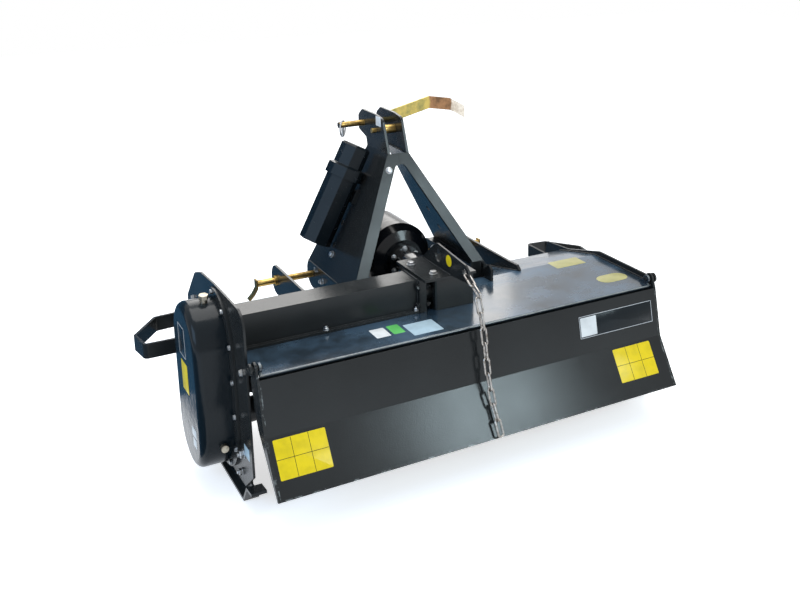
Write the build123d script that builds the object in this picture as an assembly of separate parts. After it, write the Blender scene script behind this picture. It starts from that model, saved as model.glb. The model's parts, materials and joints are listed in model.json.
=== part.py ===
from build123d import *
from math import atan2, cos, degrees, hypot, radians, sin, sqrt, tan
import os

# Rotary tiller for a tractor's three-point hitch.
# Millimetres. X to the right, Y towards the tractor, Z up, floor at Z = 0.
# While it is built, Y = 0 is the bend in the hood above the rotor. At the end everything
# moves along Y, so that the origin is the plan centre of the whole machine.

# ---- driving dimensions ----
HALF_WIDTH = 624.0          # centre plane to the inner face of a side plate
PLATE = 6.0                 # side plates
SHEET = 4.0                 # hood and tailboard
ROTOR_Y, ROTOR_Z = -60.0, 178.0
ROTOR_R = 168.0             # to the tines' tips
SHAFT_Z = 440.0             # PTO axis
TOUCH = 0.05                # radial clearance of a shaft turning in its bearing

# hood: deck, sloping front facet and front lip, as (Y, Z) of the outer face
DECK_Z = 393.0
DECK_REAR_Y = -312.0
DECK_BEND_Y = 0.0
FACET_Y, FACET_Z = 205.0, 348.0
LIP_Y, LIP_Z = 240.0, 252.0
REAR_ROLL_R = 5.0

# side plates
SIDE_REAR_Y = -280.0
SIDE_FRONT_Y = 300.0
SIDE_BOTTOM_Z = 98.0
LEFT_TOP_Z = 542.0
CASE_FOOT_Z = 34.0          # the left plate's lower end, behind the chain case
RIGHT_TOP_Z = 411.0

# tailboard
HINGE_Y, HINGE_Z = -305.0, 410.0
HINGE_BOLT_R = 6.0
LUG_R = 17.0
HOOD_LUG_R = 13.0
FLAP_TOP = (-331.0, 387.0)
FLAP_BEND = (-361.0, 244.0)
FLAP_EDGE = (-446.0, 112.0)
FLAP_LIP_R = 35.5           # lip under the hood's rear edge, about the hinge
FLAP_LIP_TURNS = (290.0, 266.0, 243.0)
FLAP_GAP = 6.0              # between the tailboard's ends and the side plates
END_PLATE = 6.0
HOOD_LUG_T = 6.0
BOLT_OUT = 4.0              # hinge bolt past its lug and the side plate

# chain case on the left side plate
CASE_Y = -42.0
CASE_LOW_Z, CASE_HIGH_Z = 164.0, 396.0
CASE_FLANGE_LOW_Z, CASE_FLANGE_HIGH_Z = 176.0, 393.0
CASE_FLANGE_R = 143.0
CASE_FLANGE_T = 8.0
CASE_R = 116.0
CASE_DEPTH = 88.0
CASE_ROUND = 20.0
PLUG_OUT, FILLER_TURN = 30.0, 8.0   # the oil plugs: distance from the flange, degrees back from the top

# cross beam, centre box and bracket
BEAM_REAR_Y, BEAM_FRONT_Y = -144.0, -56.0
BEAM_TOP_Z = 489.0
BEAM_WALL = 6.0
BEAM_END_X = -92.0
BEAM_FLANGE_T = 22.0
BOX_LEFT_X, BOX_RIGHT_X = -45.0, 78.0
BOX_REAR_Y, BOX_FRONT_Y = -166.0, -20.0
BRACKET_T = 8.0
BRACKET_LEFT_X = -85.0
BRACKET_REAR_Y = -181.0
CHAIN_EAR_T = 6.0
EAR_WINDOW_Y, EAR_WINDOW_Z, EAR_WINDOW_R = -100.0, 534.0, 20.0
CHAIN_HOLE_Y, CHAIN_HOLE_Z = -262.0, 530.0
CHAIN_HOLE_R = 12.0

# hitch
PIN_Y, PIN_Z = 390.0, 362.0       # lower hitch pins
PIN_R = 11.0                      # category 1 lower pin
TOP_PIN_Y, TOP_PIN_Z = 345.0, 850.0
TOP_PIN_R = 9.5                   # category 1 top pin
EAR_T = 8.0
INNER_EAR_X = 206.0
OUTER_EAR_X = 325.0
PIN_END_X = 396.0
EAR_NOSE_R = 48.0
EAR_TOP_Z = 409.0
INNER_EAR_REAR_Y, OUTER_EAR_REAR_Y = -41.0, -10.0

# mast
FOOT_Z = 441.0                    # the rear flange bends upright below this
MAST_TOP_Z = 782.0
MAST_FOOT_Y, MAST_TOP_Y = 20.0, 167.0
MAST_FOOT_X, MAST_TOP_X = 215.0, 35.0
STRIP = 38.0                      # width of the rear flange
WEB_FRONT_BOTTOM_Y, WEB_FRONT_TOP_Y = 378.0, 322.0
MAST_T = 8.0
APEX_HIGH, APEX_R = 36.0, 14.0    # depth of the bridge between the legs, and its inner corners
WEB_HOLES = [(252, 496), (262, 560)]
WEB_HOLE_R = 8.0
TOP_EAR_INNER_X = 27.0            # half the gap that takes the top link

# rotor
TUBE_R = 35.0
STUB_R, STUB_OUT = 20.0, 30.0      # stub shaft, and its length past the right side plate
TUBE_END_GAP = 39.0                # tube's end to the side plate
TUBE_HALF = HALF_WIDTH - TUBE_END_GAP
TINE_FLANGE_R = 75.0
TINE_FLANGE_T = 8.0
FLANGE_XS = (-500.0, -300.0, -100.0, 100.0, 300.0, 500.0)
TINES_PER_FLANGE = 4
FLANGE_STEP = 15.0                # degrees from one flange's tines to the next one's
TINE_T = 8.0
WING = 78.0
WING_WIDE = 62.0
TINE_BEND_R = 24.0


def face_yz(points, x):
    """A closed outline of (Y, Z) points in the plane X = x."""
    return Plane.YZ.offset(x) * make_face(Polyline(*points, close=True))


def plate_yz(points, x, thickness, rounds=()):
    """A plate from X = x to x + thickness; rounds holds (corner number, radius)."""
    outline = make_face(Polyline(*points, close=True))
    for corner, radius in rounds:
        y, z = points[corner]
        vertex = outline.vertices().sort_by_distance((y, z, 0))[0]
        outline = fillet(vertex, radius)
    return extrude(Plane.YZ.offset(x) * outline, amount=thickness)


def rod_x(x0, x1, y, z, radius):
    """A round bar along X."""
    return extrude(Plane.YZ.offset(x0) * Pos(y, z) * Circle(radius), amount=x1 - x0)


def rod_y(y0, y1, x, z, radius):
    """A round bar along Y."""
    return Pos(x, y0, z) * Rot(-90, 0, 0) * Cylinder(radius, y1 - y0, align=(Align.CENTER, Align.CENTER, Align.MIN))


def block(x0, x1, y0, y1, z0, z1):
    return Pos(x0, y0, z0) * Box(x1 - x0, y1 - y0, z1 - z0, align=Align.MIN)


def mirrored(shape):
    return mirror(shape, about=Plane.YZ)


def band(points, thickness):
    """An outline of even thickness along open (Y, Z) points, on the left of the way they run."""
    inner = []
    for i, (y, z) in enumerate(points):
        before = points[max(i - 1, 0)], points[max(i, 1)]
        after = points[min(i, len(points) - 2)], points[min(i + 1, len(points) - 1)]
        normals = []
        for (ya, za), (yb, zb) in (before, after):
            run = hypot(yb - ya, zb - za)
            normals.append((-(zb - za) / run, (yb - ya) / run))
        (a, b), (c, d) = normals
        scale = thickness / (1 + a * c + b * d)
        inner.append((y + (a + c) * scale, z + (b + d) * scale))
    return list(points) + inner[::-1]


# ---- hood and side plates ----

HOOD_LINE = [(LIP_Y, LIP_Z), (FACET_Y, FACET_Z), (DECK_BEND_Y, DECK_Z), (DECK_REAR_Y, DECK_Z)]
END_X = HALF_WIDTH - FLAP_GAP - END_PLATE          # inner face of a tailboard end plate
HOOD_LUG_X = END_X - FLAP_GAP - HOOD_LUG_T         # inner face of a hinge lug on the hood
NOTCH_Y = HINGE_Y + LUG_R + 16


def hood():
    """Bent deck sheet with a rolled rear edge, hinge lugs and notches for the tailboard's lugs."""
    sheet = extrude(face_yz(band(HOOD_LINE, SHEET), -HALF_WIDTH), amount=2 * HALF_WIDTH)
    sheet += rod_x(-HALF_WIDTH, HALF_WIDTH, DECK_REAR_Y, DECK_Z - REAR_ROLL_R, REAR_ROLL_R)
    lug = [(HINGE_Y - HOOD_LUG_R, DECK_Z - 1), (HINGE_Y + 40, DECK_Z - 1), (HINGE_Y + HOOD_LUG_R, HINGE_Z)]
    lug = plate_yz(lug, HOOD_LUG_X, HOOD_LUG_T)
    lug += rod_x(HOOD_LUG_X, HOOD_LUG_X + HOOD_LUG_T, HINGE_Y, HINGE_Z, HOOD_LUG_R)
    notch = block(HOOD_LUG_X + HOOD_LUG_T, HALF_WIDTH, DECK_REAR_Y - 20, NOTCH_Y, DECK_Z - 30, DECK_Z + 1)
    for side in (1, -1):
        shape = lug if side > 0 else mirrored(lug)
        sheet = sheet + shape - (notch if side > 0 else mirrored(notch))
    return sheet - rod_x(-HALF_WIDTH, HALF_WIDTH, HINGE_Y, HINGE_Z, HINGE_BOLT_R)


def side_plates():
    """The tall plate that carries the chain case, and the low plate with the rotor's outer bearing."""
    low_front = [(SIDE_FRONT_Y + 8, 290), (SIDE_FRONT_Y - 70, SIDE_BOTTOM_Z), (SIDE_REAR_Y, SIDE_BOTTOM_Z)]
    case_foot = [(88, CASE_FOOT_Z), (-200, CASE_FOOT_Z)]
    left = [(SIDE_REAR_Y, LEFT_TOP_Z + 6), (-20, LEFT_TOP_Z), (120, 531), (188, 510), (SIDE_FRONT_Y, 405)]
    left += low_front[:2] + case_foot + low_front[2:]
    right = [(SIDE_REAR_Y, RIGHT_TOP_Z), (DECK_BEND_Y - 23, RIGHT_TOP_Z), (158, 366), (SIDE_FRONT_Y - 10, 356)] + low_front
    plates = {
        "left": plate_yz(left, -HALF_WIDTH - PLATE, PLATE, ((0, 50), (2, 90), (3, 70), (4, 30), (5, 40), (8, 20))),
        "right": plate_yz(right, HALF_WIDTH, PLATE, ((4, 40), (5, 50))),
    }
    lug = rod_x(0, PLATE, HINGE_Y, HINGE_Z, LUG_R - 2)
    lug += block(0, PLATE, HINGE_Y, SIDE_REAR_Y + 1, HINGE_Z - LUG_R + 2, RIGHT_TOP_Z)
    bolt_hole = rod_x(-1, PLATE + 1, HINGE_Y, HINGE_Z, HINGE_BOLT_R)
    for side, x in (("left", -HALF_WIDTH - PLATE), ("right", HALF_WIDTH)):
        plates[side] = plates[side] + Pos(x, 0, 0) * lug - Pos(x, 0, 0) * bolt_hole
    plates["left"] -= rod_x(-HALF_WIDTH - PLATE - 1, -HALF_WIDTH + 1, ROTOR_Y, ROTOR_Z, STUB_R + 3)
    plates["right"] -= rod_x(HALF_WIDTH - 1, HALF_WIDTH + PLATE + 1, ROTOR_Y, ROTOR_Z, STUB_R + 12)
    return plates


SKID_WEB_T = 5.0
SKID_SOLE_T = 8.0
SKID_INNER_X = HALF_WIDTH - 24.0
SKID_OUTER_X = HALF_WIDTH + PLATE + 11.0
SKID_LINE = [(-292, 54), (-250, 50), (-212, 0), (96, 0), (160, 52)]   # underside, rear to front
SKID_WEB_TOP_Z, SKID_WEB_DIP_Z = 150.0, 112.0
SKID_WEB_LINE = [(-236, SKID_WEB_TOP_Z), (-160, SKID_WEB_TOP_Z), (-132, SKID_WEB_DIP_Z), (12, SKID_WEB_DIP_Z),
                 (40, SKID_WEB_TOP_Z), (150, SKID_WEB_TOP_Z)]      # top edge, rear to front


def skid():
    """Right skid: an upright plate on the side plate's inner face, and a sole bent up at both ends."""
    outline = band(SKID_LINE, SKID_SOLE_T)
    sole = extrude(face_yz(outline, SKID_INNER_X), amount=SKID_OUTER_X - SKID_INNER_X)
    rim = outline[len(SKID_LINE):]
    web = rim[:-1] + [(SKID_WEB_LINE[0][0], rim[-2][1])] + SKID_WEB_LINE
    return sole + plate_yz(web, HALF_WIDTH - SKID_WEB_T, SKID_WEB_T)


# ---- chain case ----

def stadium(radius, low_z, high_z, x, thickness):
    """A plate with round ends about an upper and a lower centre."""
    slot = SlotCenterToCenter(high_z - low_z, 2 * radius, rotation=90)
    slot = Pos(CASE_Y, (high_z + low_z) / 2) * slot
    return extrude(Plane.YZ.offset(x) * slot, amount=thickness)


def chain_case():
    plate_face = -HALF_WIDTH - PLATE
    flange = stadium(CASE_FLANGE_R, CASE_FLANGE_LOW_Z, CASE_FLANGE_HIGH_Z, plate_face - CASE_FLANGE_T, CASE_FLANGE_T)
    flange -= rod_x(plate_face - CASE_FLANGE_T - 1, plate_face + 1, ROTOR_Y, ROTOR_Z, STUB_R + 3)
    back = plate_face - CASE_FLANGE_T
    cover = stadium(CASE_R, CASE_LOW_Z, CASE_HIGH_Z, back - CASE_DEPTH, CASE_DEPTH)
    cover = fillet(cover.faces().sort_by(Axis.X)[0].edges(), CASE_ROUND)
    seat = Pos(back - PLUG_OUT, CASE_Y, CASE_HIGH_Z) * Rot(FILLER_TURN, 0, 0)
    filler = seat * Pos(0, 0, CASE_R - 6) * Cylinder(10, 16, align=(Align.CENTER, Align.CENTER, Align.MIN))
    filler += seat * Pos(0, 0, CASE_R + 10) * extrude(RegularPolygon(13, 6), amount=12)
    level = rod_y(CASE_Y - CASE_R - 12, CASE_Y - CASE_R + 8, back - PLUG_OUT, CASE_LOW_Z - 26, 10)
    return {"chain_case_flange": flange, "chain_case_cover": cover, "oil_filler_plug": filler - cover,
            "oil_level_plug": level - cover}


# ---- beam, centre box, bracket ----

def cross_beam():
    """Square tube that houses the cross shaft, with its base strip on the deck."""
    tube = block(-HALF_WIDTH, BEAM_END_X, BEAM_REAR_Y, BEAM_FRONT_Y, DECK_Z, BEAM_TOP_Z)
    tube -= block(-HALF_WIDTH - 1, BEAM_END_X + 1, BEAM_REAR_Y + BEAM_WALL, BEAM_FRONT_Y - BEAM_WALL,
                  DECK_Z + BEAM_WALL, BEAM_TOP_Z - BEAM_WALL)
    strip = block(-HALF_WIDTH, BEAM_END_X, BEAM_REAR_Y - 12, BEAM_REAR_Y, DECK_Z, DECK_Z + 8)
    return tube + strip


def beam_flanges():
    """Bolted flanges between the beam and the centre box, with the round neck between them and the box."""
    pair = block(BEAM_END_X, BEAM_END_X + BEAM_FLANGE_T, BEAM_REAR_Y - 14, BEAM_FRONT_Y + 14, DECK_Z, BEAM_TOP_Z)
    mid_y, mid_z = (BEAM_REAR_Y + BEAM_FRONT_Y) / 2, (DECK_Z + BEAM_TOP_Z) / 2
    return pair + rod_x(BEAM_END_X + BEAM_FLANGE_T, BOX_LEFT_X, mid_y, mid_z, 40)


def centre_box():
    box = block(BOX_LEFT_X, BOX_RIGHT_X, BOX_REAR_Y, BOX_FRONT_Y, DECK_Z, BEAM_TOP_Z)
    return chamfer(box.edges().filter_by(Axis.Z).group_by(Axis.Y)[0], 4)


BRACKET_TOP = BEAM_TOP_Z + BRACKET_T
EAR_OUTLINE = [(8, BRACKET_TOP), (-89, 570), (-268, 554), (-286, 540), (-281, 505), (BRACKET_REAR_Y, BRACKET_TOP)]


def bracket():
    """Top plate on the centre box with the upright ear that carries the chain."""
    top = block(BRACKET_LEFT_X, BOX_RIGHT_X, BRACKET_REAR_Y, BOX_FRONT_Y + 30, BEAM_TOP_Z, BRACKET_TOP)
    ear = plate_yz(EAR_OUTLINE, -CHAIN_EAR_T / 2, CHAIN_EAR_T, ((1, 26), (2, 8), (3, 8)))
    ear -= rod_x(-CHAIN_EAR_T, CHAIN_EAR_T, EAR_WINDOW_Y, EAR_WINDOW_Z, EAR_WINDOW_R)
    ear -= rod_x(-CHAIN_EAR_T, CHAIN_EAR_T, CHAIN_HOLE_Y, CHAIN_HOLE_Z, CHAIN_HOLE_R)
    return top + ear


# ---- gearbox and PTO ----

RING_Y, RING_T, RING_R = 138.0, 14.0, 52.0
SHAFT_R = 17.5                      # 1-3/8 inch PTO stub
PTO_END_Y = 335.0
SHIELD_R, SHIELD_END_Y, SHIELD_T = 110.0, 360.0, 4.0
SHIELD_LOW_Z = 376.0                # the shield is open below this


def revolved(profile):
    """A body turned about the PTO axis from (radius, Y) points."""
    return Pos(0, 0, SHAFT_Z) * revolve(make_face(Polyline(*profile, close=True)), axis=Axis.Y)


def gearbox():
    """Cast gearbox nose in front of the centre box, ending in the bolting ring."""
    rear = BOX_FRONT_Y
    nose = revolved([(0, rear), (48, rear), (48, 84), (34, 110), (34, RING_Y), (RING_R, RING_Y),
                     (RING_R, RING_Y + RING_T), (30, RING_Y + RING_T), (26, RING_Y + 40), (0, RING_Y + 40)])
    nose -= block(-100, 100, rear - 1, FACET_Y, SHAFT_Z - 100, DECK_Z)
    return nose - rod_y(RING_Y, PTO_END_Y, 0, SHAFT_Z, SHAFT_R + TOUCH)


def pto_shaft():
    """Six-spline stub shaft."""
    shoulder = RING_Y + 40
    shaft = rod_y(RING_Y + 4, shoulder + 1, 0, SHAFT_Z, SHAFT_R) + rod_y(shoulder + 1, shoulder + 8, 0, SHAFT_Z, 23)
    splines = rod_y(shoulder + 8, PTO_END_Y, 0, SHAFT_Z, 14.8)
    for k in range(6):
        tooth = block(-4.3, 4.3, shoulder + 8, PTO_END_Y, 0, SHAFT_R - 0.1)
        splines += Pos(0, 0, SHAFT_Z) * Rot(0, 60 * k, 0) * tooth
    return shaft + splines


def pto_shield():
    """Moulded bell round the PTO shaft, open to the front."""
    back = RING_Y + RING_T
    outer = [(34, back), (66, back), (94, back + 12), (SHIELD_R, back + 42), (SHIELD_R, SHIELD_END_Y)]
    inner = [(SHIELD_R - SHIELD_T, SHIELD_END_Y), (SHIELD_R - SHIELD_T, back + 43), (91, back + 15.5),
             (65, back + SHIELD_T), (34, back + SHIELD_T)]
    low = block(-SHIELD_R - 1, SHIELD_R + 1, 0, SHIELD_END_Y + 1, SHAFT_Z - SHIELD_R - 1, SHIELD_LOW_Z)
    return revolved(outer + inner) - low


# ---- mast ----

LEAN = (MAST_TOP_Y - MAST_FOOT_Y) / (MAST_TOP_Z - FOOT_Z)
SPLAY = (MAST_FOOT_X - MAST_TOP_X) / (MAST_TOP_Z - FOOT_Z)
BASE_Z = EAR_TOP_Z + MAST_T


def web_x(z):
    """Outer face of the right web at a height."""
    return MAST_FOOT_X - SPLAY * (z - FOOT_Z)


def mast_leg():
    """Right leg: a tapering side web, half of the rear flange, the foot and the base flange."""
    rise = sqrt(1 + SPLAY**2)
    plane = Plane(origin=(web_x(BASE_Z), 0, BASE_Z), x_dir=(0, 1, 0), z_dir=(-1 / rise, 0, -SPLAY / rise))
    up = rise if plane.y_dir.Z > 0 else -rise
    top = (MAST_TOP_Z - BASE_Z) * up
    outline = [(MAST_FOOT_Y, 0), (MAST_FOOT_Y, (FOOT_Z - BASE_Z) * up), (MAST_TOP_Y, top), (WEB_FRONT_TOP_Y, top),
               (WEB_FRONT_BOTTOM_Y, 0)]
    web = extrude(plane * make_face(Polyline(*outline, close=True)), amount=MAST_T)
    for y, z in WEB_HOLES:
        web -= rod_x(0, MAST_FOOT_X + 20, y, z, WEB_HOLE_R)
    lean = sqrt(1 + LEAN**2)
    plane = Plane(origin=(0, MAST_FOOT_Y, FOOT_Z), x_dir=(1, 0, 0), z_dir=(0, 1 / lean, -LEAN / lean))
    up = 1 if plane.y_dir.Z > 0 else -1
    height = (MAST_TOP_Z - FOOT_Z) * lean * up
    inner_foot = MAST_FOOT_X - STRIP
    apex = height - APEX_HIGH * up
    slope = (MAST_FOOT_X - MAST_TOP_X) / height
    inner_apex = inner_foot - slope * apex
    strip = [(inner_foot, 0), (MAST_FOOT_X, 0), (MAST_TOP_X, height), (0, height), (0, apex), (inner_apex, apex)]
    strip = make_face(Polyline(*strip, close=True))
    strip = fillet(strip.vertices().sort_by_distance((inner_apex, apex, 0))[0], APEX_R)
    flange = extrude(plane * strip, amount=MAST_T)
    foot = block(INNER_EAR_X - STRIP + 2, INNER_EAR_X, MAST_FOOT_Y, MAST_FOOT_Y + MAST_T, DECK_Z - 50, FOOT_Z + 2)
    foot -= under_hood(inner_foot - 50, MAST_FOOT_X)
    base_flange = block(INNER_EAR_X - 14, web_x(BASE_Z) + 2, MAST_FOOT_Y + MAST_T, WEB_FRONT_BOTTOM_Y, EAR_TOP_Z, BASE_Z)
    return web + flange + foot + base_flange


def under_hood(x0, x1):
    """All that lies below the hood's outer face, between two X."""
    below = HOOD_LINE + [(DECK_REAR_Y, 0), (LIP_Y, 0)]
    return extrude(face_yz(below, x0), amount=x1 - x0)


TOP_EAR_OUTLINE = [(MAST_TOP_Y - 4, MAST_TOP_Z), (201, 885), (254, 892), (355, 892), (387, 871), (388, 824), (329, 807),
                   (WEB_FRONT_TOP_Y, MAST_TOP_Z)]
SPACER_Y, SPACER_Z = 251.0, 842.0


def top_ear():
    ear = plate_yz(TOP_EAR_OUTLINE, TOP_EAR_INNER_X, EAR_T, ((1, 16), (2, 20), (3, 16), (4, 16), (5, 12)))
    ear -= rod_x(0, 60, TOP_PIN_Y, TOP_PIN_Z, TOP_PIN_R)
    return ear - rod_x(0, 60, SPACER_Y, SPACER_Z, 8)


def top_spacer():
    """Spacer bolt between the ears."""
    reach = TOP_EAR_INNER_X + EAR_T + 14
    return rod_x(-reach, reach, SPACER_Y, SPACER_Z, 8) + rod_x(-TOP_EAR_INNER_X, TOP_EAR_INNER_X, SPACER_Y, SPACER_Z, 14)


LYNCH_R = 4.5
TOP_PIN_END_X = -120.0
TOP_LYNCH_X = TOP_PIN_END_X + 14
TOP_LYNCH_TURN = 40.0               # degrees round its stem
LOWER_LYNCH_X = INNER_EAR_X - 14
HANDLE_LINE = [(44, 857), (195, 893), (272, 879), (326, 848)]    # (X, Z) of the flat bar's middle
HANDLE_HIGH = 40.0


def top_pin():
    """Top link pin with its bent flat-bar handle."""
    pin = rod_x(TOP_PIN_END_X, 44, TOP_PIN_Y, TOP_PIN_Z, TOP_PIN_R)
    low = [(x, z - HANDLE_HIGH / 2) for x, z in HANDLE_LINE]
    high = [(x, z + HANDLE_HIGH / 2) for x, z in HANDLE_LINE]
    bar = Plane.XZ.offset(-TOP_PIN_Y) * make_face(Polyline(*(low + high[::-1]), close=True))
    pin += rod_x(TOP_EAR_INNER_X + EAR_T, 44, TOP_PIN_Y, TOP_PIN_Z, 15) + extrude(bar, amount=3, both=True)
    return pin - lynch_hole(TOP_LYNCH_X, TOP_PIN_Y, TOP_PIN_Z)


def lynch_hole(x, y, z):
    """Cross hole in a hitch pin for its lynch pin."""
    return Pos(x, y, z) * Cylinder(LYNCH_R, 100)


def lynch_pin(x, y, z, pin_radius, turn=0.0):
    """A short pin through a hitch pin's end, with the spring ring that closes round the hitch pin."""
    ring_r, wire_r, drop = pin_radius + 16, 2.5, 12
    stem = Pos(x, y, z - drop) * Cylinder(LYNCH_R, 2 * ring_r)
    corners = [(ring_r * cos(radians(20 * k)), ring_r * sin(radians(20 * k))) for k in range(18)]
    return stem + Pos(x, y, z - drop) * Rot(0, 0, 90 - turn) * ring(corners, wire_r, 6)


# ---- lower hitch ----

def hood_z(y):
    """Outer face of the hood's front facet."""
    return DECK_Z - (y - DECK_BEND_Y) * (DECK_Z - FACET_Z) / (FACET_Y - DECK_BEND_Y)


def lip_y(z):
    """Outer face of the hood's front lip."""
    return FACET_Y + (LIP_Y - FACET_Y) * (FACET_Z - z) / (FACET_Z - LIP_Z)


def hitch_ear(x, rear_y, rear_top):
    """One upright hitch plate, seated on the hood's facet and lip, its nose round the lower pin."""
    nose_low = PIN_Z - EAR_NOSE_R
    outline = [(rear_y, hood_z(rear_y) if rear_y > DECK_BEND_Y else DECK_Z), (rear_y, rear_top - 12), (rear_y + 14, rear_top),
               (rear_y + 60, EAR_TOP_Z), (PIN_Y, EAR_TOP_Z), (PIN_Y, nose_low), (lip_y(nose_low), nose_low),
               (FACET_Y, FACET_Z)]
    if rear_y < DECK_BEND_Y:
        outline.append((DECK_BEND_Y, DECK_Z))
    nose = rod_x(x, x + EAR_T, PIN_Y, PIN_Z, EAR_NOSE_R)
    nose -= block(x - 1, x + EAR_T + 1, PIN_Y - 80, PIN_Y + 80, EAR_TOP_Z, EAR_TOP_Z + 50)
    return plate_yz(outline, x, EAR_T) + nose - rod_x(x - 1, x + EAR_T + 1, PIN_Y, PIN_Z, PIN_R)


PIN_HANDLE_LINE = [(0, 15), (0, -14), (12, -34), (28, -50)]     # (X from the pin's end, Z from its axis)
PIN_HANDLE_T, PIN_HANDLE_WIDE = 5.0, 24.0


def lower_pin():
    """Right lower hitch pin with its shoulder and the bent flat handle on its outer end."""
    pin = rod_x(LOWER_LYNCH_X - 10, PIN_END_X, PIN_Y, PIN_Z, PIN_R)
    pin += rod_x(OUTER_EAR_X + EAR_T, OUTER_EAR_X + EAR_T + 8, PIN_Y, PIN_Z, 17)
    outline = band([(PIN_END_X + x, PIN_Z + z) for x, z in PIN_HANDLE_LINE], PIN_HANDLE_T)
    handle = Plane.XZ.offset(-PIN_Y) * make_face(Polyline(*outline, close=True))
    pin += extrude(handle, amount=PIN_HANDLE_WIDE / 2, both=True)
    return pin - lynch_hole(LOWER_LYNCH_X, PIN_Y, PIN_Z)


# ---- guards ----

GUARD_T, GUARD_HIGH, GUARD_Z = 8.0, 45.0, 257.0
GUARD_LINE = [(0, 235), (147, 235), (159, 320), (77, 434), (0, 442), (0, 252)]    # (X from the side plate, Y)


def guard():
    """Right guard: flat bar on edge, bent round in plan from the side plate and back to it."""
    face = HALF_WIDTH + PLATE
    line = [(face + x, y) for x, y in GUARD_LINE]
    points = band(line, GUARD_T)
    outline = make_face(Polyline(*points, close=True))
    count = len(line)
    for corner in range(1, count - 1):
        for point, radius in ((points[corner], 14), (points[2 * count - 1 - corner], 14 - GUARD_T)):
            outline = fillet(outline.vertices().sort_by_distance((*point, 0))[0], radius)
    return extrude(Plane.XY.offset(GUARD_Z) * outline, amount=GUARD_HIGH)


# ---- rotor ----

def tine():
    """One L-shaped tine on the +X face of its flange, upright, its wing turned to +X and swept round the axis."""
    knee = ROTOR_R - TINE_BEND_R
    root = TUBE_R + 12
    leg = [(-18, root), (18, root), (20, TINE_FLANGE_R), (WING_WIDE / 2, knee), (-WING_WIDE / 2, knee), (-20, TINE_FLANGE_R)]
    leg = plate_yz(leg, 0, TINE_T)
    inner = TINE_BEND_R - TINE_T
    arc = cos(radians(45))
    curl = (Line((0, knee), (TINE_T, knee))
            + ThreePointArc((TINE_T, knee), (TINE_BEND_R - inner * arc, knee + inner * arc), (TINE_BEND_R, knee + inner))
            + Polyline((TINE_BEND_R, knee + inner), (WING, knee + inner), (WING, ROTOR_R - 0.5), (TINE_BEND_R, ROTOR_R - 0.5))
            + ThreePointArc((TINE_BEND_R, ROTOR_R - 0.5), (TINE_BEND_R * (1 - arc), knee + (TINE_BEND_R - 0.5) * arc), (0, knee)))
    wing = extrude(Plane.XZ * make_face(curl), amount=WING_WIDE / 2, both=True)
    wing &= rod_x(-1, WING + 1, 0, 0, ROTOR_R)
    return Pos(TINE_FLANGE_T / 2, 0, 0) * (leg + wing)


def tines():
    """Tines on each flange, turned outwards and inwards by turns, each flange a step round from the last."""
    blades = []
    out = tine()
    back = mirrored(out)
    turn = 360 / TINES_PER_FLANGE
    for n, x in enumerate(FLANGE_XS):
        for k in range(TINES_PER_FLANGE):
            blades.append(Pos(x, ROTOR_Y, ROTOR_Z) * Rot(turn * k + FLANGE_STEP * n, 0, 0) * (back if k % 2 else out))
    return Compound(blades)


def rotor_shaft():
    """Tube with its stub shafts and the flanges that the tines are bolted to."""
    shaft = rod_x(-TUBE_HALF, TUBE_HALF, ROTOR_Y, ROTOR_Z, TUBE_R)
    left_end = -HALF_WIDTH - PLATE - CASE_FLANGE_T + 2
    shaft += rod_x(left_end, HALF_WIDTH + PLATE + STUB_OUT, ROTOR_Y, ROTOR_Z, STUB_R)
    half = TINE_FLANGE_T / 2
    for x in FLANGE_XS:
        shaft += rod_x(x - half, x + half, ROTOR_Y, ROTOR_Z, TINE_FLANGE_R)
    return shaft


BEARING_R, BEARING_RIM_R, BEARING_RIM_T = 43.0, 62.0, 11.0
BEARING_IN, BEARING_OUT = 26.0, 42.0      # how far the housings stand in and out


def bearings():
    """Flanged housings for the rotor's stub shafts."""
    inner = rod_x(-HALF_WIDTH, -HALF_WIDTH + BEARING_RIM_T, ROTOR_Y, ROTOR_Z, BEARING_RIM_R)
    inner += rod_x(-HALF_WIDTH, -HALF_WIDTH + BEARING_IN, ROTOR_Y, ROTOR_Z, BEARING_R)
    start = HALF_WIDTH + PLATE
    outer = rod_x(start, start + BEARING_RIM_T, ROTOR_Y, ROTOR_Z, BEARING_RIM_R)
    outer += fillet(rod_x(start, start + BEARING_OUT, ROTOR_Y, ROTOR_Z, BEARING_R).edges().sort_by(Axis.X)[-1], 8)
    bore = rod_x(-start, start + STUB_OUT + 4, ROTOR_Y, ROTOR_Z, STUB_R + TOUCH)
    return {"rotor_bearing_left": inner - bore, "rotor_bearing_right": outer - bore}


# ---- tailboard ----

def tailboard_panel():
    """Sheet with one bend across it, its top edge curled under the hood about the hinge."""
    line = []
    for turn in FLAP_LIP_TURNS:
        angle = radians(turn)
        line.append((HINGE_Y + FLAP_LIP_R * cos(angle), HINGE_Z + FLAP_LIP_R * sin(angle)))
    line += [FLAP_TOP, FLAP_BEND, FLAP_EDGE]
    return extrude(face_yz(band(line, SHEET), -END_X), amount=2 * END_X)


def tailboard_end():
    """Right end plate: a wedge along the panel's end, with the hinge lug on top."""
    outline = [FLAP_EDGE, (FLAP_EDGE[0] + 8, FLAP_EDGE[1] - 3), (-314, 247), (-297, 287), (-284, 331), (-275, 365),
               (HINGE_Y + LUG_R, HINGE_Z), (HINGE_Y - LUG_R, HINGE_Z), FLAP_TOP, FLAP_BEND]
    plate = plate_yz(outline, END_X, END_PLATE) + rod_x(END_X, END_X + END_PLATE, HINGE_Y, HINGE_Z, LUG_R)
    return plate - rod_x(END_X - 1, END_X + END_PLATE + 1, HINGE_Y, HINGE_Z, HINGE_BOLT_R + TOUCH)


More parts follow.
